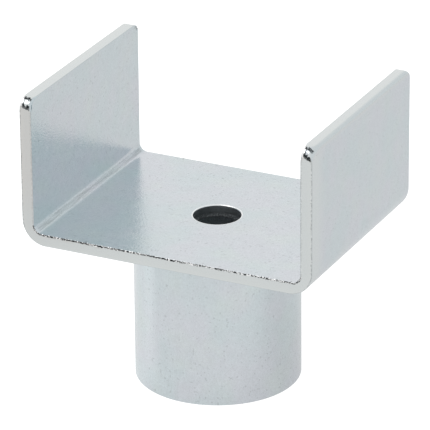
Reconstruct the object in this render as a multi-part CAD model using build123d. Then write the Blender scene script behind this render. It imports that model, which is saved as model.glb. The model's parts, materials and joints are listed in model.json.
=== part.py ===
from build123d import *
import os

# Post anchor saddle: a flat bar bent into a U that holds a timber post, with a round
# tube welded under its floor that slips over a ground pipe.
# Millimetres. Origin at the centre of the tube's lower rim, which the part stands on.
# +X runs across the arms, +Y along the width of the bar, +Z up.

# Saddle plate
post_width = 90.0           # clear width between the arms
plate_thickness = 4.0
plate_depth = 72.5          # width of the bar, along Y
saddle_height = 47.8        # underside of the floor to the top of the arms
outer_bend_radius = 8.0     # larger than inner radius plus thickness: the bend stretches thin
inner_bend_radius = 2.7
arm_corner_radius = 2.8     # rounded upper corners of each arm
bolt_hole_diameter = 15.0   # punched through the middle of the floor

# Socket tube
tube_outer_diameter = 52.3
tube_wall = 2.1
tube_length = 49.2
rim_chamfer = 0.4           # deburred lower rim, inside and outside

# Fillet weld between the tube and the floor's underside
weld_leg = 3.5
weld_crown = 0.3            # how far the bead bulges past a straight fillet

saddle_width = post_width + 2 * plate_thickness
tube_radius = tube_outer_diameter / 2
floor_bottom = tube_length
floor_top = floor_bottom + plate_thickness
arm_top = floor_bottom + saddle_height


def saddle_plate():
    """A U profile in the XZ plane, carried along Y, with its arms' corners rounded."""
    half = saddle_width / 2
    inner_half = post_width / 2
    outline = [
        (-half, arm_top),
        (-half, floor_bottom),
        (half, floor_bottom),
        (half, arm_top),
        (inner_half, arm_top),
        (inner_half, floor_top),
        (-inner_half, floor_top),
        (-inner_half, arm_top),
    ]
    with BuildPart() as part:
        with BuildSketch(Plane.XZ):
            with BuildLine():
                Polyline(*outline, close=True)
            make_face()
            fillet(vertices().group_by(Axis.Y)[1], inner_bend_radius)
            fillet(vertices().group_by(Axis.Y)[0], outer_bend_radius)
        extrude(amount=plate_depth / 2, both=True)
        arm_corners = part.edges().filter_by(Axis.X).group_by(Axis.Z)[-1]
        fillet(arm_corners, arm_corner_radius)
        with Locations((0, 0, floor_bottom + plate_thickness / 2)):
            Hole(bolt_hole_diameter / 2)
    return part.part


def socket_tube():
    """An open tube whose top butts against the underside of the saddle's floor."""
    bore_radius = tube_radius - tube_wall
    section = [
        (bore_radius, tube_length),
        (bore_radius, rim_chamfer),
        (bore_radius + rim_chamfer, 0),
        (tube_radius - rim_chamfer, 0),
        (tube_radius, rim_chamfer),
        (tube_radius, tube_length),
    ]
    with BuildPart() as part:
        with BuildSketch(Plane.XZ):
            with BuildLine():
                Polyline(*section, close=True)
            make_face()
        revolve(axis=Axis.Z)
    return part.part


def weld_bead():
    """A ring of fillet section with a slightly bulging face, in the corner under the floor."""
    root = (tube_radius, floor_bottom)
    plate_toe = (tube_radius + weld_leg, floor_bottom)
    tube_toe = (tube_radius, floor_bottom - weld_leg)
    bulge = (weld_leg / 2) + weld_crown / 2 ** 0.5
    crown = (tube_radius + bulge, floor_bottom - bulge)
    with BuildPart() as part:
        with BuildSketch(Plane.XZ):
            with BuildLine():
                Line(root, plate_toe)
                ThreePointArc(plate_toe, crown, tube_toe)
                Line(tube_toe, root)
            make_face()
        revolve(axis=Axis.Z)
    return part.part


os.makedirs("parts", exist_ok=True)
export_step(saddle_plate(), "parts/saddle_plate.step")
export_step(socket_tube(), "parts/socket_tube.step")
export_step(weld_bead(), "parts/weld_bead.step")
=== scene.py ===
"""Looks of a post anchor saddle: a bent steel plate, the round tube under it and the weld
between them.

Everything is in metres in the packed model's own frame: the tube stands on z = 0, +X runs
across the arms, +Y along the width of the bar and +Z up.
"""

import json
import math

import bmesh
import bpy
import numpy as np
from mathutils import Matrix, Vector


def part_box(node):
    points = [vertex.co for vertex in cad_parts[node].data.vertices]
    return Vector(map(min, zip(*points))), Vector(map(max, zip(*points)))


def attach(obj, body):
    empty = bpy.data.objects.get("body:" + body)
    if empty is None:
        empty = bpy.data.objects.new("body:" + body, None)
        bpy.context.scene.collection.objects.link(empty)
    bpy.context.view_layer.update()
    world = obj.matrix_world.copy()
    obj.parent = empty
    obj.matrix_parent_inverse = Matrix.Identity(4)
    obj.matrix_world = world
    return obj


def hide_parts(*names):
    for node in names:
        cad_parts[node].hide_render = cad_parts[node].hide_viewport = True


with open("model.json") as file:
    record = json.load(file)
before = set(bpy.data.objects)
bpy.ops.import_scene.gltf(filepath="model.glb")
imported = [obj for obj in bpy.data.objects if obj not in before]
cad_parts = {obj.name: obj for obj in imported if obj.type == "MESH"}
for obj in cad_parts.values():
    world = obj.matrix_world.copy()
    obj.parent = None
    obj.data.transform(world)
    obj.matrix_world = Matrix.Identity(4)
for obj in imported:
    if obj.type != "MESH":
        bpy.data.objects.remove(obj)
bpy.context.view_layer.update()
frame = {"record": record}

bl_info = {
    "name": "Post Anchor Saddle",
    "version": (1, 0, 0),
    "blender": (4, 5, 0),
    "location": "View3D > Sidebar > Saddle",
    "description": "Builds the finished surfaces of a zinc-plated post anchor saddle",
    "category": "Add Mesh",
}

MM = 0.001

MOUNTS = {mount["name"]: mount for mount in frame["record"]["mounts"]}
PLATE_LOW, PLATE_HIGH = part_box("saddle_plate")
_, TUBE_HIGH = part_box("socket_tube")
_, WELD_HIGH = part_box("weld_bead")
HOLE_RADIUS = MOUNTS["bolt_hole"]["dims"]["r_mm"] * MM
PLATE_THICKNESS = MOUNTS["bolt_hole"]["dims"]["length_mm"] * MM
BORE_RADIUS = MOUNTS["pipe_socket"]["dims"]["r_mm"] * MM
TORN_HEIGHT = 0.33 * PLATE_THICKNESS
WHITE = (1.0, 1.0, 1.0, 1.0)


def linear(colour):
    """An sRGB colour such as "c8d0d4" as linear red, green, blue and alpha."""
    parts = np.array([int(colour[k : k + 2], 16) for k in (0, 2, 4)]) / 255
    low = parts / 12.92
    high = ((parts + 0.055) / 1.055) ** 2.4
    return (*np.where(parts <= 0.04045, low, high).tolist(), 1.0)


def length(name, description, default):
    """A length in metres that the sidebar shows in scene units."""
    return bpy.props.FloatProperty(
        name=name, description=description, default=default, unit="LENGTH", precision=5
    )


def colour(name, description, default):
    """A colour that the sidebar shows as a swatch, given as an sRGB hex value."""
    return bpy.props.FloatVectorProperty(
        name=name, description=description, default=linear(default), subtype="COLOR", size=4
    )


class PlateSettings(bpy.types.PropertyGroup):
    """Sizes of the bent plate that its box doesn't give."""

    outer_bend: length("Outer bend radius", "Radius on the outside of each bend", 8.0 * MM)
    inner_bend: length("Inner bend radius", "Radius on the inside of each bend", 2.7 * MM)
    corner: length("Arm corner radius", "Rounding of the arms' upper corners", 2.8 * MM)
    dressed: length("Dressed corner", "Radius of the right front corner outside", 3.9 * MM)
    edge: length("Edge rounding", "Radius along the sheared edges", 0.2 * MM)
    worn_outer: length("Worn outer corner", "Extra edge radius outside the front corners", 0.7 * MM)
    worn_inner: length("Worn inner corner", "Extra edge radius inside the front corners", 0.85 * MM)
    rollover: length("Hole rollover", "Radius where the punch drew the hole's rim in", 0.3 * MM)
    rolled: length("Rolled edge", "Extra radius where the shears rolled the lower edge", 0.2 * MM)
    drawn: length("Drawn edge", "Extra radius outside the right arm's sheared end", 1.4 * MM)
    nick: length("Burr depth", "Depth of the nicks along the sheared edges", 0.06 * MM)
    step: length("Grid step", "Spacing of the surface grid along the plate", 0.5 * MM)


class TubeSettings(bpy.types.PropertyGroup):
    """Sizes of the tube that its box doesn't give."""

    rim: length("Rim rounding", "Radius on both edges of the lower rim", 0.4 * MM)
    dent: length("Cut waviness", "How far the sawn rim wanders from flat", 0.04 * MM)
    around: bpy.props.IntProperty(
        name="Steps around", description="Grid steps around the tube", default=224, min=32
    )


class WeldSettings(bpy.types.PropertyGroup):
    """Shape of the weld bead."""

    crown: length("Crown", "How far the bead bulges past a straight fillet", 0.3 * MM)
    ripple: length("Ripple height", "Height of the ripples laid by each weave", 0.13 * MM)
    pitch: length("Ripple pitch", "Spacing of the ripples along the bead", 1.9 * MM)
    wander: length("Toe wander", "How far the bead's edges wander", 0.25 * MM)


class FinishSettings(bpy.types.PropertyGroup):
    """Colours of the zinc coat, with the painted shade and painted dark reflections set on it."""

    blue: colour("Pale blue", "Passivated zinc where its film looks blue", "d4dde0")
    lilac: colour("Lilac", "Passivated zinc where its film looks lilac", "d8dce1")
    green: colour("Grey green", "Passivated zinc where its film looks green", "d7e0de")
    edge: colour("Sheared edge", "Zinc over the sheared edges", "dfe3e2")
    # Darker tone painted on the rounded arrises as painted shade.
    rounded: colour("Rounded arris", "Plating on the rounded arrises", "b4babd")
    # Near-black colour painted on the nicks as painted dark reflections.
    burr_and_dark_reflection: colour("Burr", "Thinly coated nicks along the sheared edges", "15181a")
    weld: colour("Weld metal", "Zinc over the weld", "c3cace")


class StageSettings(bpy.types.PropertyGroup):
    """Camera, light and floor."""

    azimuth: bpy.props.FloatProperty(
        name="Azimuth",
        description="Camera direction, from -Y towards +X",
        default=math.radians(26.0),
        subtype="ANGLE",
    )
    elevation: bpy.props.FloatProperty(
        name="Elevation",
        description="Camera height above the horizon",
        default=math.radians(23.66),
        subtype="ANGLE",
    )
    roll: bpy.props.FloatProperty(
        name="Roll",
        description="Turn of the camera about its own line of sight",
        default=math.radians(-0.49),
        subtype="ANGLE",
    )
    distance: length("Distance", "From the plate's underside to the camera", 1.3085)
    aim_right: length("Aim right", "Sideways offset of the camera", -0.7 * MM)
    aim_up: length("Aim up", "Upward offset of the camera", 3.53 * MM)
    lens: bpy.props.FloatProperty(
        name="Lens", description="Focal length in millimetres", default=352.8
    )
    floor_size: length("Floor size", "Side of the square floor", 8.0)
    floor: colour("Floor", "Colour of the pale floor", "fafafa")


GROUPS = {
    "saddle_plate_settings": PlateSettings,
    "saddle_tube_settings": TubeSettings,
    "saddle_weld_settings": WeldSettings,
    "saddle_finish_settings": FinishSettings,
    "saddle_stage_settings": StageSettings,
}


# Meshes


def grid_faces(numbers, wrap=False):
    """Quads between neighbouring rows and columns of a table of vertex numbers.

    wrap joins the last column to the first."""
    if wrap:
        numbers = np.concatenate([numbers, numbers[:, :1]], axis=1)
    corners = [numbers[:-1, :-1], numbers[1:, :-1], numbers[1:, 1:], numbers[:-1, 1:]]
    return np.stack(corners, axis=-1).reshape(-1, 4)


def wander(place, spacing, seed):
    """A smooth random curve between -1 and 1, whose turns are about one spacing apart."""
    steps = place / spacing
    first = math.floor(steps.min()) - 1
    values = np.random.default_rng(seed).uniform(-1, 1, math.ceil(steps.max()) - first + 3)
    whole = np.floor(steps).astype(int)
    part = steps - whole
    ease = part * part * (3 - 2 * part)
    low = values[whole - first]
    high = values[whole - first + 1]
    return low + (high - low) * ease


def make_piece(name, points, faces, replaced, material, attributes=()):
    """A closed piece of the object: unused points are dropped, pinched quads become triangles
    and its faces are turned outwards. It stands for one packed node and rides with it."""
    used, numbers = np.unique(faces, return_inverse=True)
    faces = numbers.reshape(faces.shape)
    following = np.roll(faces, -1, axis=1)
    pinched = (faces == following).any(axis=1)
    thin = faces[pinched]
    kept = (thin != np.roll(thin, -1, axis=1)).nonzero()
    triangles = thin[kept].reshape(-1, 3)
    mesh = bpy.data.meshes.new(name)
    mesh.from_pydata(points[used], [], faces[~pinched].tolist() + triangles.tolist())
    for title, values in attributes:
        layer = mesh.attributes.new(title, "FLOAT_VECTOR", "POINT")
        layer.data.foreach_set("vector", values[used].astype(np.float32).ravel())
    shell = bmesh.new()
    shell.from_mesh(mesh)
    bmesh.ops.recalc_face_normals(shell, faces=shell.faces)
    shell.to_mesh(mesh)
    shell.free()
    mesh.shade_smooth()
    mesh.materials.append(material)
    piece = bpy.data.objects.new(name, mesh)
    bpy.context.scene.collection.objects.link(piece)
    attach(piece, "root")
    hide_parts(replaced)
    return piece


# Bent plate


class Bend:
    """The plate's flat blank and how it is bent.

    A point of the blank is a distance along the bar from its middle, a distance across it,
    and a depth up from the face that ends outside."""

    def __init__(self, settings):
        self.outer_radius = settings.outer_bend
        self.inner_radius = settings.inner_bend
        self.height = PLATE_HIGH.z - PLATE_LOW.z
        self.outer_floor = PLATE_HIGH.x - self.outer_radius
        self.inner_floor = PLATE_HIGH.x - PLATE_THICKNESS - self.inner_radius
        self.floor = (self.outer_floor + self.inner_floor) / 2
        self.turn = (self.outer_radius + self.inner_radius) / 2 * math.pi / 2
        outer_arm = self.height - self.outer_radius
        inner_arm = self.height - PLATE_THICKNESS - self.inner_radius
        self.arm = (outer_arm + inner_arm) / 2
        self.half_length = self.floor + self.turn + self.arm
        self.half_width = PLATE_HIGH.y

    def face(self, reach, radius, inset):
        """Distance out and height of one face: level over the floor, then a quarter circle
        of that radius, then straight up to the top of the arm."""
        flat = np.clip(reach / self.floor, 0, 1)
        angle = np.clip((reach - self.floor) / self.turn, 0, 1) * math.pi / 2
        rise = (reach - self.floor - self.turn) / self.arm
        level = PLATE_HIGH.x - inset - radius
        out = level * flat + radius * np.sin(angle)
        straight = self.height - inset - radius
        up = inset + radius * (1 - np.cos(angle)) + straight * np.clip(rise, 0, None)
        return out, up

    def place(self, along, across, depth):
        """A point lies on the straight line from the outer face to the inner face at its
        distance along, at the share of the thickness that its depth is."""
        reach = np.abs(along)
        outer_out, outer_up = self.face(reach, self.outer_radius, 0.0)
        inner_out, inner_up = self.face(reach, self.inner_radius, PLATE_THICKNESS)
        share = depth / PLATE_THICKNESS
        out = outer_out + (inner_out - outer_out) * share
        up = outer_up + (inner_up - outer_up) * share
        return np.stack([np.sign(along) * out, across, PLATE_LOW.z + up], axis=-1)


def outline(rows, columns, steps):
    """The edge of a grid in order, as row, column and outward angle, with a fan of
    directions at each corner."""
    fan = np.linspace(0, math.pi / 2, steps + 1)[1:-1]
    along = np.arange(rows)
    across = np.arange(columns)
    last, end = rows - 1, columns - 1
    still = np.zeros(fan.size, int)
    row = [along, still + last, across * 0 + last, still + last]
    row += [along[::-1], still, across * 0, still]
    column = [along * 0 + end, still + end, across[::-1], still]
    column += [along * 0, still, across, still + end]
    quarter = math.pi / 2
    angle = [along * 0 + quarter, quarter - fan, across * 0.0, -fan]
    angle += [along * 0 - quarter, -quarter - fan, across * 0 - math.pi, -math.pi - fan]
    return np.concatenate(row), np.concatenate(column), np.concatenate(angle)


def corner_reach(start, angle, bend, corner, radius):
    """How far the rim lies from the flat grid's edge, when an arm's corner has that radius.

    Off the corner, a place a from the end of the straight edge is set back by
    radius - sqrt(radius^2 - (radius - a)^2). Round the corner it is the distance along the
    outward direction to a circle whose centre lies radius - corner further in."""
    offset = radius - corner
    sides = np.abs(np.cos(angle)) + np.abs(np.sin(angle))
    fan = np.sqrt((offset * sides) ** 2 - 2 * offset**2 + radius**2) - offset * sides
    from_end = bend.half_length - np.abs(start[:, 0])
    from_side = bend.half_width - np.abs(start[:, 1])
    away = np.where(np.abs(np.cos(angle)) > 0.5, from_side, from_end)
    past = np.clip(radius - away, 0, None)
    straight = corner - (radius - np.sqrt(radius**2 - past**2))
    on_axis = sides < 1 + 1e-9
    return np.where(on_axis, straight, fan)


def rounded_edge(corner, rounding):
    """One rounded edge of the rim, from the face outwards, as distance out from the flat part
    of the face and distance below the face: a quarter circle, with two rows before it so that
    the flat face stays flat. rounding holds one radius per place round the rim."""
    turn = np.linspace(0, math.pi / 2, 8)[:, None]
    flat = corner - rounding
    out = [[0.5 * flat, flat - 0.15 * rounding], flat + rounding * np.sin(turn)]
    deep = [np.zeros((2, rounding.size)), rounding * (1 - np.cos(turn))]
    return np.concatenate(out), np.concatenate(deep)


def edge_section(corner, inner, outer):
    """Section of the plate's rim from the inner face round to the outer face, as distance out
    and depth, with the radius of either edge at each place round the rim."""
    inner_out, inner_deep = rounded_edge(corner, inner)
    outer_out, outer_deep = rounded_edge(corner, outer)
    middle = np.linspace(inner, PLATE_THICKNESS - outer, 10)[1:-1]
    out = np.concatenate([inner_out, np.full(middle.shape, corner), outer_out[::-1]])
    deep = np.concatenate([inner_deep, middle, PLATE_THICKNESS - outer_deep[::-1]])
    return out, PLATE_THICKNESS - deep


def half_steps(block, total, block_steps, rest_steps):
    """Grid lines mirrored about 0: even steps to the edge of a block, then on to the end."""
    inside = np.linspace(0, block, block_steps + 1)
    outside = np.linspace(block, total, rest_steps + 1)[1:]
    half = np.concatenate([inside, outside])
    return np.concatenate([-half[:0:-1], half])


def hole_section(rollover):
    """Section of the punched hole from the inner face down to the outer face, as radius and
    depth: a quarter circle where the punch drew the rim in, a straight burnished wall over
    two thirds of the thickness, and a torn wall that widens a little below it."""
    turn = np.linspace(0, math.pi / 2, 7)
    flare = 0.16 * MM
    rim_radius = HOLE_RADIUS + rollover * (1 - np.sin(turn))
    rim_depth = PLATE_THICKNESS - rollover * (1 - np.cos(turn))
    wall = np.linspace(PLATE_THICKNESS - rollover, TORN_HEIGHT, 5)[1:]
    torn = np.linspace(TORN_HEIGHT, 0, 6)[1:]
    radius = [[rim_radius[0] * 1.012], rim_radius, wall * 0 + HOLE_RADIUS]
    radius += [HOLE_RADIUS + flare * (1 - torn / TORN_HEIGHT), [HOLE_RADIUS + 1.4 * flare]]
    depth = [[PLATE_THICKNESS], rim_depth, wall, torn, [0.0]]
    return np.concatenate(radius), np.concatenate(depth)


def hole_rings(settings, above, below):
    """Rings of points from a square of the inner face in to the hole, down through it and out
    to a square of the outer face. The torn wall wanders outwards, except beside the seam where
    the two ends of that curve meet."""
    bearing = np.arctan2(above[:, 1], above[:, 0])
    radius, height = hole_section(settings.rollover)
    ragged = np.where(height < 0.3 * PLATE_THICKNESS, 0.06 * MM, 0)[:, None]
    torn = ragged * (wander(bearing * HOLE_RADIUS, 0.5 * MM, 6) + 1)
    torn[:, bearing > 3.0] = 0
    radius = radius[:, None] + torn
    height = np.broadcast_to(height[:, None], radius.shape)
    wall = np.stack([radius * np.cos(bearing), radius * np.sin(bearing), height], axis=-1)
    top, bottom = wall[0, :, :2], wall[-1, :, :2]
    shares = np.array([0.3, 0.6, 0.85])[:, None, None]
    inwards = np.insert(above + (top - above) * shares, 2, PLATE_THICKNESS, axis=-1)
    outwards = np.insert(bottom + (below - bottom) * (1 - shares[::-1]), 2, 0, axis=-1)
    return np.concatenate([inwards, wall, outwards])


def rim_points(settings, bend, start, angle):
    """The rim in the flat blank: one section carried round the flat grid's edge.

    Wear at the arms' front corners falls off as a bell curve 0.65 mm wide. Nicks follow a
    line 0.45 mm below the inner face, and the cut sways over 5 mm."""
    corner = settings.corner
    to_corner = np.abs(start) - [bend.half_length - corner, bend.half_width - corner]
    front = start[:, 1] < 0
    right = start[:, 0] > 0
    worn = np.exp(-((to_corner / (0.65 * MM)) ** 2).sum(axis=1)) * front
    inner_edge = settings.edge + settings.worn_inner * worn
    outer_edge = settings.edge + settings.worn_outer * worn * (0.4 + 0.6 * right)
    on_floor = np.abs(start[:, 0]) < bend.floor
    rolled = settings.rolled * (0.7 + 0.3 * wander(start[:, 0], 7 * MM, 8)) * on_floor
    drawn = settings.drawn * np.cos(angle) ** 2 * right
    reach, depth = edge_section(corner, inner_edge, outer_edge + rolled + drawn)

    outer_radius = np.where(front & right, settings.dressed, corner)
    radius = corner + (outer_radius - corner) * (1 - depth / PLATE_THICKNESS)
    reach_share = corner_reach(start, angle, bend, corner, radius) / corner
    travel = start[:, 0] + start[:, 1] + 0.3 * angle * corner
    burred = np.exp(-(((depth - PLATE_THICKNESS + 0.45 * MM) / (0.3 * MM)) ** 2))
    nicks = np.clip(wander(travel, 0.8 * MM, 3) + 0.4 * wander(travel, 0.4 * MM, 4), 0, 1)
    sway = 0.25 * settings.nick * (1 + wander(travel, 5 * MM, 5))
    cut = settings.nick * burred * nicks * (1 - worn) + sway
    on_rim = reach > corner - 1.05 * settings.edge
    out = reach * reach_share - np.where(on_rim, cut, 0)
    outward = np.column_stack([np.cos(angle), np.sin(angle)])
    return np.concatenate([start + out[..., None] * outward, depth[..., None]], axis=-1)


def plate_surface(settings):
    """The whole skin of the bent plate, as points, faces and each point's place in the blank.

    Both faces are flat grids of the blank. The rim is one section carried round their edge,
    fanned at the arms' corners. A square of the grids in the middle of the floor gives way to
    rings that run from its edge to the hole and through it. Then the blank is bent."""
    bend = Bend(settings)
    corner = settings.corner
    block = 1.6 * HOLE_RADIUS
    long_steps = round((bend.half_length - corner - block) / settings.step)
    block_steps = round(block / settings.step)
    along = half_steps(block, bend.half_length - corner, block_steps, long_steps)
    across = half_steps(block, bend.half_width - corner, block_steps // 2, 12)
    rows, columns = along.size, across.size
    flat = np.stack(np.meshgrid(along, across, indexing="ij"), axis=-1).reshape(-1, 2)
    count = len(flat)
    inner_face = np.column_stack([flat, np.full(count, PLATE_THICKNESS)])
    outer_face = np.column_stack([flat, np.zeros(count)])
    inner = np.arange(count).reshape(rows, columns)
    outer = inner + count

    row, column, angle = outline(rows, columns, 9)
    rim = rim_points(settings, bend, flat[inner[row, column]], angle)
    rim_numbers = 2 * count + np.arange(rim[..., 0].size).reshape(len(rim), -1)
    rim_numbers = np.concatenate([[inner[row, column]], rim_numbers, [outer[row, column]]])

    blank = np.concatenate([inner_face, outer_face, rim.reshape(-1, 3)])
    points = bend.place(*blank.T)

    first, last = np.abs(along + block).argmin(), np.abs(along - block).argmin()
    low, high = np.abs(across + block).argmin(), np.abs(across - block).argmin()
    loop_row = np.arange(first, last)
    loop_column = np.arange(low, high)
    ring_row = [loop_row, loop_column * 0 + last, loop_row[::-1] + 1, loop_column * 0 + first]
    ring_column = [loop_row * 0 + high, loop_column[::-1] + 1, loop_row * 0 + low, loop_column]
    square = np.concatenate(ring_row), np.concatenate(ring_column)
    rings = hole_rings(settings, points[inner[square]][:, :2], points[outer[square]][:, :2])
    ring_numbers = len(points) + np.arange(rings[..., 0].size).reshape(len(rings), -1)
    ring_numbers = np.concatenate([[inner[square]], ring_numbers, [outer[square]]])
    blank = np.concatenate([blank, rings.reshape(-1, 3)])
    points = np.concatenate([points, (rings + [0, 0, PLATE_LOW.z]).reshape(-1, 3)])

    kept = np.ones((rows - 1, columns - 1), bool)
    kept[first:last, low:high] = False
    kept = kept.ravel()
    faces = [grid_faces(inner)[kept], grid_faces(outer)[kept]]
    faces += [grid_faces(rim_numbers, wrap=True), grid_faces(ring_numbers, wrap=True)]
    return points, np.concatenate(faces), blank


# Tube and weld


def ring_surface(radius, height, bearing):
    """Points and faces of a closed section carried round the Z axis. radius and height hold
    one row per point of the section and one column per bearing."""
    points = np.stack([radius * np.cos(bearing), radius * np.sin(bearing), height], axis=-1)
    numbers = np.arange(radius.size).reshape(radius.shape)
    numbers = np.concatenate([numbers, numbers[:1]])
    return points.reshape(-1, 3), grid_faces(numbers, wrap=True)


def tube_surface(settings):
    """The tube: two straight walls joined by a quarter circle at either edge of the rim, and
    a flat end against the plate. The rim's height sways by the product of two sines round
    the tube, as a sawn end does."""
    outer, bore, rim = TUBE_HIGH.x, BORE_RADIUS, settings.rim
    top = TUBE_HIGH.z
    turn = np.linspace(0, math.pi / 2, 6)
    shoulder = 1.15 * rim
    wall = shoulder + (top - shoulder) * np.linspace(1, 0, 25) ** 1.5
    section = [
        (np.full(wall.size, outer), wall),
        (outer - rim * (1 - np.cos(turn)), rim * (1 - np.sin(turn))),
        (bore + rim * (1 - np.sin(turn)), rim * (1 - np.cos(turn))),
        (np.full(wall.size, bore), wall[::-1]),
    ]
    radius = np.concatenate([part[0] for part in section])
    height = np.concatenate([part[1] for part in section])
    bearing = np.linspace(-math.pi, math.pi, settings.around, endpoint=False)
    cut = settings.dent * 0.5 * (1 + np.sin(3 * bearing + 0.7) * np.cos(bearing))
    near_rim = np.clip(1 - height / (6 * rim), 0, 1)[:, None]
    height = height[:, None] + cut * near_rim
    return ring_surface(np.tile(radius[:, None], bearing.size), height, bearing)


def weld_surface(settings):
    """The bead: a fillet section carried round under the plate. Its face bulges by a half
    sine, with crescent ripples one pitch apart, and both toes wander."""
    root = TUBE_HIGH.x
    leg = WELD_HIGH.x - root
    sunk = 0.05 * MM
    middle = root + leg / 2
    ripples = round(2 * math.pi * middle / settings.pitch)
    bearing = np.linspace(-math.pi, math.pi, ripples * 7, endpoint=False)
    share = np.linspace(0, 1, 15)[:, None]
    swell = np.sin(math.pi * share)
    crescent = ripples * bearing / (2 * math.pi) + 0.9 * (2 * share - 1) ** 2
    laid = 0.5 + 0.5 * np.cos(2 * math.pi * crescent)
    uneven = 0.7 + 0.3 * np.sin(5 * bearing + 1)
    plate_toe = leg - settings.wander * (0.5 + 0.5 * np.sin(7 * bearing) * np.cos(2 * bearing))
    tube_toe = leg - settings.wander * (0.5 + 0.5 * np.sin(9 * bearing + 2))
    bulge = settings.crown * swell + settings.ripple * laid * swell**0.5 * uneven
    bulge = (bulge - settings.ripple * 0.5) / math.sqrt(2)
    radius = root - sunk + (plate_toe + sunk) * (1 - share) + bulge
    height = WELD_HIGH.z + sunk - (tube_toe + sunk) * share - bulge
    inner = np.full((1, bearing.size), root - sunk)
    roof = np.full((1, bearing.size), WELD_HIGH.z + sunk)
    radius = np.concatenate([radius, inner])
    height = np.concatenate([height, roof])
    return ring_surface(radius, height, bearing)


# Materials


def add_node(tree, kind, inputs=(), **settings):
    """Add a node. inputs is a list in the order of the node's sockets, or a dictionary by
    socket, of values, sockets or nodes, and a node stands for its first output. The other
    words are the node's own settings."""
    node = tree.nodes.new("ShaderNode" + kind)
    for name, value in settings.items():
        setattr(node, name, value)
    wanted = inputs if isinstance(inputs, dict) else dict(enumerate(inputs))
    for name, value in wanted.items():
        if isinstance(value, bpy.types.Node):
            value = value.outputs[0]
        if isinstance(value, bpy.types.NodeSocket):
            tree.links.new(value, node.inputs[name])
        else:
            node.inputs[name].default_value = value
    return node


def between(tree, value, low, high, soft):
    """A mask that is 1 from low to high and fades to 0 over the last soft at both ends."""
    rise = add_node(tree, "MapRange", [value, low, low + soft])
    fall = add_node(tree, "MapRange", [value, high - soft, high, 1, 0])
    return add_node(tree, "Math", [rise, fall], operation="MULTIPLY")


def new_material(name):
    """An empty node material and its tree."""
    material = bpy.data.materials.new(name)
    material.use_nodes = True
    material.node_tree.nodes.clear()
    return material, material.node_tree


def per_metre(millimetres):
    """Texture scale that gives features of that size on coordinates in metres."""
    return 1 / (millimetres * MM)


def zinc_coat(tree, place, finish, stretch=(1, 1, 1)):
    """Colour, roughness and height of bright zinc with a thin blue passivation film.

    The film's thickness drifts over 11 to 16 mm, which tints the metal blue, lilac or green.
    Crystals about 0.1 mm across scatter the gloss. They are drawn 0.55 mm across, because they
    would be too fine to show. Pits in the rolled steel are 0.9 mm apart."""
    film = {"Vector": place, "Scale": per_metre(16), "Detail": 2}
    film = add_node(tree, "TexNoise", film)
    film = add_node(tree, "MapRange", [film, 0.4, 0.6])
    tint = {0: film, 6: finish.blue, 7: finish.lilac}
    tint = add_node(tree, "Mix", tint, data_type="RGBA").outputs[2]
    elsewhere = add_node(tree, "Mapping", {"Vector": place, "Location": (0.3, 0.1, 0.7)})
    patches = {"Vector": elsewhere, "Scale": per_metre(11), "Detail": 3}
    patches = add_node(tree, "TexNoise", patches)
    patches = add_node(tree, "MapRange", [patches, 0.5, 0.7, 0, 0.5])
    tint = {0: patches, 6: tint, 7: finish.green}
    tint = add_node(tree, "Mix", tint, data_type="RGBA").outputs[2]

    drawn = add_node(tree, "Mapping", {"Vector": place, "Scale": stretch})
    crystals = {"Vector": drawn, "Scale": per_metre(0.55), "Detail": 2, "Roughness": 0.6}
    crystals = add_node(tree, "TexNoise", crystals)
    clouds = {"Vector": drawn, "Scale": per_metre(2.4), "Detail": 3, "Roughness": 0.6}
    clouds = add_node(tree, "TexNoise", clouds)
    pits = {"Vector": place, "Scale": per_metre(0.9), "Detail": 1}
    pits = add_node(tree, "TexNoise", pits)
    pits = add_node(tree, "MapRange", [pits, 0.66, 0.72, 0, 0.14])
    grain = add_node(tree, "MapRange", [crystals, 0.32, 0.68, -0.04, 0.04])
    broad = add_node(tree, "MapRange", [clouds, 0.32, 0.68, 0.975, 1.015])
    shade = add_node(tree, "Math", [grain, broad], operation="ADD")
    shade = add_node(tree, "Math", [shade, pits], operation="SUBTRACT")
    grey = add_node(tree, "CombineColor", [shade, shade, shade])
    tone = {0: 1.0, 6: tint, 7: grey}
    tone = add_node(tree, "Mix", tone, data_type="RGBA", blend_type="MULTIPLY").outputs[2]
    gloss = add_node(tree, "MapRange", [clouds, 0.32, 0.68, 0.17, 0.22])
    scatter = add_node(tree, "MapRange", [crystals, 0.32, 0.68, -0.03, 0.03])
    gloss = add_node(tree, "Math", [gloss, scatter], operation="ADD")
    relief = add_node(tree, "Math", [clouds, 0.7, crystals], operation="MULTIPLY_ADD")
    return tone, gloss, relief


def plated_metal(tree, tone, gloss, relief, depth):
    """Bare metal whose crystals stand up by depth."""
    bump = {"Strength": 0.78, "Distance": depth, "Height": relief}
    bump = add_node(tree, "Bump", bump)
    metal = {"Base Color": tone, "Metallic": 1.0, "Roughness": gloss, "Normal": bump}
    metal = add_node(tree, "BsdfPrincipled", metal)
    add_node(tree, "OutputMaterial", [metal])


class Blank:
    """Node sockets for where a point lay on the flat blank: its reach from the middle line
    along the strip, its distance to the side, its depth, how far it is past the corner's
    centre both ways (past_end, past_side), and how far it is out from there."""

    def __init__(self, tree, place, plate):
        self.bend = Bend(plate)
        self.corner = plate.corner
        self.along, self.across, self.depth = add_node(tree, "SeparateXYZ", [place]).outputs
        self.reach = add_node(tree, "Math", [self.along], operation="ABSOLUTE")
        self.side = add_node(tree, "Math", [self.across], operation="ABSOLUTE")
        end_centre = self.bend.half_length - plate.corner
        self.past_end = add_node(tree, "Math", [self.reach, end_centre], operation="SUBTRACT")
        side_centre = self.bend.half_width - plate.corner
        self.past_side = add_node(tree, "Math", [self.side, side_centre], operation="SUBTRACT")
        end = add_node(tree, "Math", [self.past_end, 0.0], operation="MAXIMUM")
        self.flank = add_node(tree, "Math", [self.past_side, 0.0], operation="MAXIMUM")
        out = add_node(tree, "CombineXYZ", [end, self.flank])
        self.out = add_node(tree, "VectorMath", [out], operation="LENGTH").outputs["Value"]


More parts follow.
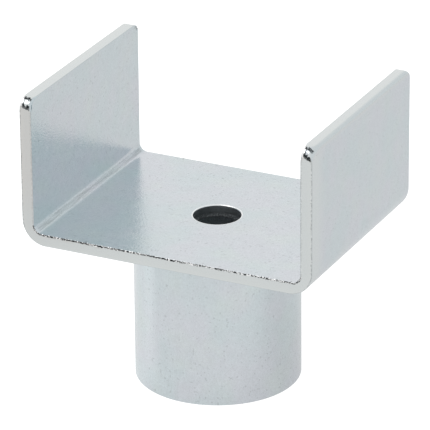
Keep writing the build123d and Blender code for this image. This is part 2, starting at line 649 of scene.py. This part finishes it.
def sheared_edge(tree, place, blank, coat, finish, plate):
    """Plating rounds over the cut edge, which looks paler and smoother than the rolled face.
    Its rounded arrises carry painted shade, a tone darker than the edge. Nicks 0.4 mm long lie
    in a wavy dotted line along the floor's edge, and a faint one along the arms'; they are
    painted near-black as painted dark reflections, with white painted glints beside them. It
    returns the coat's colour, roughness and height."""
    tone, gloss, relief = coat
    rim_start = plate.corner - 0.6 * plate.edge
    rim_end = plate.corner - 0.3 * plate.edge
    rim = add_node(tree, "MapRange", [blank.out, rim_start, rim_end])
    share = add_node(tree, "Math", [rim, 0.85], operation="MULTIPLY")
    tone = {0: share, 6: tone, 7: finish.edge}
    tone = add_node(tree, "Mix", tone, data_type="RGBA").outputs[2]
    gloss = add_node(tree, "Math", [rim, -0.06, gloss], operation="MULTIPLY_ADD")
    fill = add_node(tree, "MapRange", [rim, 0, 1, 1, 0.25])
    relief = add_node(tree, "Math", [relief, fill], operation="MULTIPLY")

    under = add_node(tree, "Math", [PLATE_THICKNESS, blank.depth], operation="SUBTRACT")
    nearest = add_node(tree, "Math", [under, blank.depth], operation="MINIMUM")
    # painted shade: the rounded arrises are darkened
    rounded = add_node(tree, "MapRange", [nearest, 0.14 * MM, 0.34 * MM, 0.6, 0])
    rounded = add_node(tree, "Math", [rounded, rim], operation="MULTIPLY")
    tone = {0: rounded, 6: tone, 7: finish.rounded}
    tone = add_node(tree, "Mix", tone, data_type="RGBA").outputs[2]

    wave = add_node(tree, "TexNoise", {"Vector": place, "Scale": per_metre(1.6), "Detail": 2})
    wave = add_node(tree, "MapRange", [wave, 0.3, 0.7, -0.14 * MM, 0.14 * MM])
    depth = add_node(tree, "Math", [blank.depth, wave], operation="ADD")
    line_low = PLATE_THICKNESS - 0.7 * MM
    line_high = PLATE_THICKNESS + 0.1 * MM
    inner_line = between(tree, depth, line_low, line_high, 0.16 * MM)
    bend = blank.bend
    arm = bend.floor + bend.turn
    near_arm = bend.floor + bend.turn * 0.8
    floor_share = add_node(tree, "MapRange", [blank.reach, near_arm, arm, 1, 0.13])
    inner_line = add_node(tree, "Math", [inner_line, floor_share], operation="MULTIPLY")
    outer_line = between(tree, depth, 0.06 * MM, 0.54 * MM, 0.18 * MM)
    on_arm = add_node(tree, "MapRange", [blank.reach, bend.floor, arm, 0, 0.32])
    outer_line = add_node(tree, "Math", [outer_line, on_arm], operation="MULTIPLY")
    line = add_node(tree, "Math", [inner_line, outer_line], operation="MAXIMUM")
    flank_start = plate.corner - 0.9 * plate.edge
    flank_end = plate.corner - 0.4 * plate.edge
    on_flank = add_node(tree, "MapRange", [blank.flank, flank_start, flank_end])
    line = add_node(tree, "Math", [line, on_flank], operation="MULTIPLY")

    nicks = {"Vector": place, "Scale": per_metre(0.42), "Detail": 2, "Roughness": 0.65}
    nicks = add_node(tree, "TexNoise", nicks)
    runs = add_node(tree, "TexNoise", {"Vector": place, "Scale": per_metre(5), "Detail": 1})
    runs = add_node(tree, "MapRange", [runs, 0.4, 0.6, -0.03, 0.03])
    nicks = add_node(tree, "Math", [nicks, runs], operation="ADD")
    # painted dark reflection: near-black specks along the nick line
    dark = add_node(tree, "MapRange", [nicks, 0.475, 0.5])
    dark = add_node(tree, "Math", [dark, line], operation="MULTIPLY")
    tone = {0: dark, 6: tone, 7: finish.burr_and_dark_reflection}
    tone = add_node(tree, "Mix", tone, data_type="RGBA").outputs[2]
    # painted glints: white specks along the nick line
    bright = add_node(tree, "MapRange", [nicks, 0.455, 0.43])
    bright = add_node(tree, "Math", [bright, line], operation="MULTIPLY")
    tone = {0: bright, 6: tone, 7: WHITE}
    tone = add_node(tree, "Mix", tone, data_type="RGBA").outputs[2]
    return tone, gloss, relief


def drawn_margin(tree, blank, tone, finish):
    """The shears drew the skin down beside the cuts, so margins on the outer face, 9 mm wide
    at the front and 2 mm at the arms' ends, take a thicker coat and look less blue."""
    front = -blank.bend.half_width
    share = 0.7
    margin = [blank.across, front + 3.5 * MM, front + 9 * MM, share, 0]
    margin = add_node(tree, "MapRange", margin)
    end = add_node(tree, "MapRange", [blank.past_end, 0.6 * MM, 1.6 * MM, 0, share])
    margin = add_node(tree, "Math", [margin, end], operation="MAXIMUM")
    outside = [blank.depth, 0.5 * PLATE_THICKNESS, 0.3 * PLATE_THICKNESS]
    outside = add_node(tree, "MapRange", outside)
    margin = add_node(tree, "Math", [margin, outside], operation="MULTIPLY")
    tone = {0: margin, 6: tone, 7: finish.edge}
    return add_node(tree, "Mix", tone, data_type="RGBA").outputs[2]


def bend_track(tree, place, blank, tone, gloss):
    """The punch that pressed each bend rubbed a rougher scored track along the middle of its
    inside, with its own pale skin left on both sides. The track's tone is also darkened, as
    painted shade standing for the dark reflection between two pale lines. The scores are
    0.35 mm apart."""
    bend = blank.bend
    turned = add_node(tree, "MapRange", [blank.reach, bend.floor, bend.floor + bend.turn])
    ragged = {"Vector": place, "Scale": per_metre(1.1), "Detail": 3, "Roughness": 0.6}
    ragged = add_node(tree, "TexNoise", ragged)
    ragged = add_node(tree, "MapRange", [ragged, 0.2, 0.8, -0.56, -0.44])
    off_middle = add_node(tree, "Math", [turned, ragged], operation="ADD")
    track = between(tree, off_middle, -0.23, 0.23, 0.06)
    inner_half = [blank.depth, 0.7 * PLATE_THICKNESS, 0.9 * PLATE_THICKNESS]
    inside = add_node(tree, "MapRange", inner_half)
    track = add_node(tree, "Math", [track, inside], operation="MULTIPLY")
    near_edge = [blank.side, bend.half_width - 2 * MM, bend.half_width - 0.8 * MM, 1, 0]
    short = add_node(tree, "MapRange", near_edge)
    track = add_node(tree, "Math", [track, short], operation="MULTIPLY")
    scores = add_node(tree, "Mapping", {"Vector": place, "Scale": (1, 0.06, 1)})
    scores = {"Vector": scores, "Scale": per_metre(0.35), "Detail": 2}
    scores = add_node(tree, "TexNoise", scores)
    # painted shade: the track's tone is darkened to between 0.68 and 0.95
    track_shade = add_node(tree, "MapRange", [scores, 0.36, 0.64, 0.68, 0.95])
    track_shade = add_node(tree, "Mix", {0: track, 2: 1.0, 3: track_shade})
    track_shade = add_node(tree, "CombineColor", [track_shade, track_shade, track_shade])
    tone = {0: 1.0, 6: tone, 7: track_shade}
    tone = add_node(tree, "Mix", tone, data_type="RGBA", blend_type="MULTIPLY").outputs[2]
    gloss = add_node(tree, "Math", [track, 0.06, gloss], operation="MULTIPLY_ADD")
    return tone, gloss


def worn_corner_reflections(tree, place, blank, tone, gloss):
    """The arms' front corners are rubbed smooth, with a lower roughness. A white patch is painted
    along them as a painted highlight, and dark patches where the wear starts and ends, with a
    thin dark line from one to the other, are painted reflections. The first dark patch lies
    steeper on the right arm.

    turn is the angle round the corner from the front edge, and offset is the distance in
    millimetres from the middle of the thickness, to the same side on both arms."""
    turn = add_node(tree, "Math", [blank.past_end, blank.past_side], operation="ARCTAN2")
    front = add_node(tree, "Math", [blank.across, 0.0], operation="LESS_THAN")
    near_end = add_node(tree, "MapRange", [blank.past_end, -1.3 * MM, -0.9 * MM])
    near_side = add_node(tree, "MapRange", [blank.past_side, -0.6 * MM, 0.0])
    worn = add_node(tree, "Math", [near_end, near_side], operation="MULTIPLY")
    worn = add_node(tree, "Math", [worn, front], operation="MULTIPLY")
    outer = [blank.out, blank.corner - 1.9 * MM, blank.corner - 1.3 * MM]
    outer = add_node(tree, "MapRange", outer)
    worn = add_node(tree, "Math", [worn, outer], operation="MULTIPLY")
    rubbed = add_node(tree, "MapRange", [turn, -0.1, 0.1, 0, 0.8])
    rubbed = add_node(tree, "Math", [rubbed, worn], operation="MULTIPLY")
    gloss = add_node(tree, "Mix", {0: rubbed, 2: gloss, 3: 0.06})

    middle = [blank.depth, PLATE_THICKNESS / 2]
    middle = add_node(tree, "Math", middle, operation="SUBTRACT")
    side = add_node(tree, "Math", [blank.along], operation="SIGN")
    offset = add_node(tree, "Math", [middle, side], operation="MULTIPLY")
    offset = add_node(tree, "Math", [offset, -1 / MM], operation="MULTIPLY")
    reflection_wobble = {"Vector": place, "Scale": per_metre(0.8), "Detail": 3, "Roughness": 0.6}
    reflection_wobble = add_node(tree, "TexNoise", reflection_wobble)
    patchy = add_node(tree, "MapRange", [reflection_wobble, 0.48, 0.62])
    reflection_wobble = add_node(tree, "MapRange", [reflection_wobble, 0.3, 0.7, -0.16, 0.16])
    slant = add_node(tree, "Math", [offset, 0.1, turn], operation="MULTIPLY_ADD")
    slant = add_node(tree, "Math", [slant, reflection_wobble], operation="ADD")
    steep = add_node(tree, "MapRange", [side, -1, 1, 0, 0.14])
    steep = add_node(tree, "Math", [offset, steep, slant], operation="MULTIPLY_ADD")
    # painted reflections: dark patches where the rubbing starts and ends, and a thin dark line
    # between them
    start = between(tree, steep, -0.12, 0.46, 0.08)
    stop = between(tree, slant, 0.9, 1.46, 0.08)
    dark = add_node(tree, "Math", [start, stop], operation="MAXIMUM")
    across = between(tree, offset, -1.3, 1.6, 0.3)
    dark = add_node(tree, "Math", [dark, across], operation="MULTIPLY")
    dark_reflection_line = between(tree, offset, -0.9, -0.3, 0.16)
    length_share = between(tree, slant, -0.06, 1.4, 0.08)
    dark_reflection_line = add_node(tree, "Math", [dark_reflection_line, length_share], operation="MULTIPLY")
    dark_reflection_line = add_node(tree, "Math", [dark_reflection_line, 0.9], operation="MULTIPLY")
    dark = add_node(tree, "Math", [dark, dark_reflection_line], operation="MAXIMUM")
    dark = add_node(tree, "Math", [dark, worn], operation="MULTIPLY")
    # painted highlight: a white patch along the rubbed corner
    painted_highlight = between(tree, offset, -1.85, -0.8, 0.2)
    painted_highlight = add_node(tree, "Math", [painted_highlight, length_share], operation="MULTIPLY")
    painted_highlight = add_node(tree, "Math", [painted_highlight, worn], operation="MULTIPLY")
    tone = {0: painted_highlight, 6: tone, 7: WHITE}
    tone = add_node(tree, "Mix", tone, data_type="RGBA").outputs[2]
    # the painted reflections take a patchy dark grey tone
    reflection_tone = {0: patchy, 6: linear("2b3032"), 7: linear("8b9092")}
    reflection_tone = add_node(tree, "Mix", reflection_tone, data_type="RGBA").outputs[2]
    tone = {0: dark, 6: tone, 7: reflection_tone}
    tone = add_node(tree, "Mix", tone, data_type="RGBA").outputs[2]
    return tone, gloss


def punched_wall(tree, place, blank, tone, gloss):
    """A punch leaves a rolled rim, painted near white round the hole as a painted highlight, then
    a burnished wall, and a rougher torn wall below it, speckled with crystals 0.5 mm across
    whose pale tone is painted glints of facets catching light from above."""
    radius = add_node(tree, "CombineXYZ", [blank.along, blank.across])
    radius = add_node(tree, "VectorMath", [radius], operation="LENGTH").outputs["Value"]
    # painted highlight: a near-white halo round the hole's rim
    rim = [radius, HOLE_RADIUS + 0.5 * MM, HOLE_RADIUS + 0.4 * MM, 0, 0.85]
    rim = add_node(tree, "MapRange", rim)
    tone = {0: rim, 6: tone, 7: WHITE}
    tone = add_node(tree, "Mix", tone, data_type="RGBA").outputs[2]
    inward = add_node(tree, "MapRange", [radius, HOLE_RADIUS + 0.3 * MM, HOLE_RADIUS + 0.2 * MM])
    down = [blank.depth, PLATE_THICKNESS - 0.1 * MM, PLATE_THICKNESS - 0.4 * MM]
    down = add_node(tree, "MapRange", down)
    bore = add_node(tree, "Math", [inward, down], operation="MULTIPLY")
    torn = [blank.depth, 0.38 * PLATE_THICKNESS, 0.3 * PLATE_THICKNESS]
    torn = add_node(tree, "MapRange", torn)
    wall_gloss = add_node(tree, "MapRange", [torn, 0, 1, 0.46, 0.66])
    gloss = add_node(tree, "Mix", {0: bore, 2: gloss, 3: wall_gloss})
    # painted glints: pale speckles where the torn wall's crystals catch light
    glint_speckles = {"Vector": place, "Scale": per_metre(0.5), "Detail": 3, "Roughness": 0.7}
    glint_speckles = add_node(tree, "TexNoise", glint_speckles)
    glint_speckles = add_node(tree, "MapRange", [glint_speckles, 0.5, 0.62])
    glint_speckles = add_node(tree, "Math", [glint_speckles, torn], operation="MULTIPLY")
    wall = {0: glint_speckles, 6: linear("9ca1a4"), 7: linear("dfe3e5")}
    wall = add_node(tree, "Mix", wall, data_type="RGBA").outputs[2]
    tone = {0: bore, 6: tone, 7: wall}
    tone = add_node(tree, "Mix", tone, data_type="RGBA").outputs[2]
    return tone, gloss


def plate_material(finish, plate):
    """Bright zinc-plated mild steel plate: a satin mirror of pale blue-grey. The patterns
    follow the flat blank round the bends, as the rolled sheet's grain does."""
    material, tree = new_material("bright_zinc_plated_steel_plate")
    place = add_node(tree, "Attribute", attribute_name="blank").outputs["Vector"]
    tone, gloss, relief = zinc_coat(tree, place, finish)
    blank = Blank(tree, place, plate)
    tone = drawn_margin(tree, blank, tone, finish)
    coat = tone, gloss, relief
    tone, gloss, relief = sheared_edge(tree, place, blank, coat, finish, plate)
    tone, gloss = bend_track(tree, place, blank, tone, gloss)
    tone, gloss = worn_corner_reflections(tree, place, blank, tone, gloss)
    tone, gloss = punched_wall(tree, place, blank, tone, gloss)
    plated_metal(tree, tone, gloss, relief, depth=0.05 * MM)
    return material


def tube_material(finish):
    """Bright zinc-plated welded steel tube: the same satin coat as the plate, drawn out a
    little along the tube by the rolls that formed it."""
    material, tree = new_material("bright_zinc_plated_steel_tube")
    place = add_node(tree, "TexCoord").outputs["Object"]
    tone, gloss, relief = zinc_coat(tree, place, finish, stretch=(1, 1, 0.75))
    plated_metal(tree, tone, gloss, relief, depth=0.05 * MM)
    return material


def weld_material(finish):
    """Zinc-plated weld metal: a little greyer and duller than the plate, because the coat
    takes less evenly on it."""
    material, tree = new_material("zinc_plated_weld_metal")
    place = add_node(tree, "TexCoord").outputs["Object"]
    tone, gloss, relief = zinc_coat(tree, place, finish)
    tone = add_node(tree, "Mix", {0: 0.6, 6: tone, 7: finish.weld}, data_type="RGBA").outputs[2]
    gloss = add_node(tree, "Math", [gloss, 0.1], operation="ADD")
    plated_metal(tree, tone, gloss, relief, depth=0.03 * MM)
    return material


def floor_material(colour_value):
    """A pale lit table: it glows, most behind on the left, so that shadows on it stay soft, and
    it looks white itself although the metal mirrors it as pale grey. It is nearly dark under
    the tube's bore, and clear from below so that the underside shows."""
    material, tree = new_material("pale_light_table")
    place = add_node(tree, "TexCoord").outputs["Object"]
    across, along, _ = add_node(tree, "SeparateXYZ", [place]).outputs
    glow = add_node(tree, "MapRange", [along, 0.0, -0.03, 0.57, 0.64])
    far_front = add_node(tree, "MapRange", [along, -0.1, -0.15, 0, 0.05])
    glow = add_node(tree, "Math", [glow, far_front], operation="SUBTRACT")
    left = add_node(tree, "MapRange", [across, -0.004, -0.02, 0, 0.12])
    behind = add_node(tree, "Math", [across, -0.27, along], operation="MULTIPLY_ADD")
    behind = add_node(tree, "MapRange", [behind, -0.03, -0.016])
    glow = add_node(tree, "Math", [left, behind, glow], operation="MULTIPLY_ADD")
    far_left = add_node(tree, "MapRange", [across, -0.06, -0.1])
    far_corner = add_node(tree, "MapRange", [along, -0.08, -0.13])
    far_corner = add_node(tree, "Math", [far_left, far_corner], operation="MULTIPLY")
    glow = add_node(tree, "Math", [far_corner, -0.05, glow], operation="MULTIPLY_ADD")
    warm = add_node(tree, "MapRange", [along, -0.14, -0.17])
    warm = add_node(tree, "Math", [warm, far_left], operation="MULTIPLY")
    warm = {0: warm, 6: colour_value, 7: linear("faf2ef")}
    warm = add_node(tree, "Mix", warm, data_type="RGBA").outputs[2]
    seen = add_node(tree, "LightPath").outputs["Is Camera Ray"]
    glow = add_node(tree, "Math", [seen, 0.4, glow], operation="MULTIPLY_ADD")
    radius = add_node(tree, "VectorMath", [place], operation="LENGTH").outputs["Value"]
    under_wall = (BORE_RADIUS + TUBE_HIGH.x) / 2
    outside = add_node(tree, "Math", [radius, under_wall], operation="GREATER_THAN")
    outside = add_node(tree, "MapRange", [outside, 0, 1, 0.09, 1])
    glow = add_node(tree, "Math", [glow, outside], operation="MULTIPLY")
    light = add_node(tree, "Emission", {"Color": warm, "Strength": glow})
    paint = add_node(tree, "BsdfDiffuse", {"Color": (0.24, 0.24, 0.24, 1)})
    lit = add_node(tree, "AddShader", [light, paint])
    clear = add_node(tree, "BsdfTransparent")
    below = add_node(tree, "NewGeometry").outputs["Backfacing"]
    both = add_node(tree, "MixShader", [below, lit, clear])
    add_node(tree, "OutputMaterial", [both])
    return material


# Operators


class SADDLE_OT_plate(bpy.types.Operator):
    """Build the bent saddle plate"""

    bl_idname = "saddle.plate"
    bl_label = "Saddle Plate"

    def execute(self, context):
        scene = context.scene
        settings = scene.saddle_plate_settings
        points, faces, blank = plate_surface(settings)
        material = plate_material(scene.saddle_finish_settings, settings)
        attributes = [("blank", blank)]
        make_piece("bent_saddle", points, faces, "saddle_plate", material, attributes)
        return {"FINISHED"}


class SADDLE_OT_tube(bpy.types.Operator):
    """Build the round socket tube"""

    bl_idname = "saddle.tube"
    bl_label = "Socket Tube"

    def execute(self, context):
        scene = context.scene
        points, faces = tube_surface(scene.saddle_tube_settings)
        material = tube_material(scene.saddle_finish_settings)
        make_piece("round_socket", points, faces, "socket_tube", material)
        return {"FINISHED"}


class SADDLE_OT_weld(bpy.types.Operator):
    """Build the weld bead between tube and plate"""

    bl_idname = "saddle.weld"
    bl_label = "Weld Bead"

    def execute(self, context):
        scene = context.scene
        points, faces = weld_surface(scene.saddle_weld_settings)
        material = weld_material(scene.saddle_finish_settings)
        make_piece("fillet_weld", points, faces, "weld_bead", material)
        return {"FINISHED"}


class SADDLE_OT_stage(bpy.types.Operator):
    """Set up the floor, the soft light and the camera"""

    bl_idname = "saddle.stage"
    bl_label = "Stage"

    def execute(self, context):
        scene = context.scene
        settings = scene.saddle_stage_settings
        build_floor(scene, settings)
        build_light(scene)
        build_camera(scene, settings)
        return {"FINISHED"}


def build_floor(scene, settings):
    """A square sheet at the height that the tube stands on."""
    half = settings.floor_size / 2
    corners = [(-half, -half, 0), (half, -half, 0), (half, half, 0), (-half, half, 0)]
    mesh = bpy.data.meshes.new("floor")
    mesh.from_pydata(corners, [], [(0, 1, 2, 3)])
    mesh.materials.append(floor_material(settings.floor))
    floor = bpy.data.objects.new("floor", mesh)
    scene.collection.objects.link(floor)


def build_light(scene):
    """A pale room that is dimmer and cooler on the right, and a soft box overhead."""
    world = bpy.data.worlds.new("white_room")
    world.use_nodes = True
    tree = world.node_tree
    tree.nodes.clear()
    place = add_node(tree, "TexCoord").outputs["Generated"]
    facing = add_node(tree, "VectorMath", [place, (1.0, 0.0, 0.0)], operation="DOT_PRODUCT")
    share = add_node(tree, "MapRange", [facing.outputs["Value"], -0.3, 0.3])
    sky = {0: share, 6: linear("f0f0f0"), 7: linear("dde1e3")}
    sky = add_node(tree, "Mix", sky, data_type="RGBA").outputs[2]
    seen = add_node(tree, "LightPath").outputs["Is Camera Ray"]
    sky = {0: seen, 6: sky, 7: WHITE}
    sky = add_node(tree, "Mix", sky, data_type="RGBA").outputs[2]
    background = add_node(tree, "Background", {"Color": sky, "Strength": 1.06})
    add_node(tree, "OutputWorld", [background])
    scene.world = world
    box = bpy.data.lights.new("soft_box", "AREA")
    box.shape = "SQUARE"
    box.size = 1.2
    box.energy = 6.5
    lamp = bpy.data.objects.new("soft_box", box)
    lamp.location = (-0.7, -0.5, 1.3)
    aim = -lamp.location.normalized()
    lamp.rotation_mode = "QUATERNION"
    lamp.rotation_quaternion = aim.to_track_quat("-Z", "Y")
    scene.collection.objects.link(lamp)


def build_camera(scene, settings):
    """A long lens looking down on the saddle from its right front."""
    turn, rise, roll = settings.azimuth, settings.elevation, settings.roll
    ahead = np.array([math.sin(turn), -math.cos(turn), 0.0])
    back = math.cos(rise) * ahead + [0, 0, math.sin(rise)]
    level = np.array([math.cos(turn), math.sin(turn), 0.0])
    upright = np.cross(back, level)
    right = math.cos(roll) * level + math.sin(roll) * upright
    up = math.cos(roll) * upright - math.sin(roll) * level
    target = np.array([0.0, 0.0, PLATE_LOW.z])
    place = target + settings.distance * back
    place = place + settings.aim_right * right + settings.aim_up * up
    lens = bpy.data.cameras.new("camera")
    lens.lens = settings.lens
    lens.clip_end = 50.0
    camera = bpy.data.objects.new("camera", lens)
    pose = np.eye(4)
    pose[:3, 0], pose[:3, 1], pose[:3, 2], pose[:3, 3] = right, up, back, place
    camera.matrix_world = Matrix(pose.tolist())
    scene.collection.objects.link(camera)
    scene.camera = camera
    scene.view_settings.view_transform = "Standard"


class SADDLE_PT_panel(bpy.types.Panel):
    """Sidebar panel with the settings and one button per piece"""

    bl_idname = "SADDLE_PT_panel"
    bl_label = "Post Anchor Saddle"
    bl_space_type = "VIEW_3D"
    bl_region_type = "UI"
    bl_category = "Saddle"

    def draw(self, context):
        for operator in OPERATORS:
            self.layout.operator(operator.bl_idname)
        for name, group in GROUPS.items():
            box = self.layout.box()
            box.label(text=group.__doc__)
            for field in group.__annotations__:
                box.prop(getattr(context.scene, name), field)


OPERATORS = (SADDLE_OT_plate, SADDLE_OT_tube, SADDLE_OT_weld, SADDLE_OT_stage)
CLASSES = (*GROUPS.values(), *OPERATORS, SADDLE_PT_panel)


def register():
    for item in CLASSES:
        bpy.utils.register_class(item)
    for name, group in GROUPS.items():
        setattr(bpy.types.Scene, name, bpy.props.PointerProperty(type=group))


def unregister():
    for name in GROUPS:
        delattr(bpy.types.Scene, name)
    for item in reversed(CLASSES):
        bpy.utils.unregister_class(item)


def main():
    """Registers the add-on and builds every piece and the stage."""
    register()
    bpy.ops.saddle.plate()
    bpy.ops.saddle.tube()
    bpy.ops.saddle.weld()
    bpy.ops.saddle.stage()


if __name__ == "__main__":
    main()
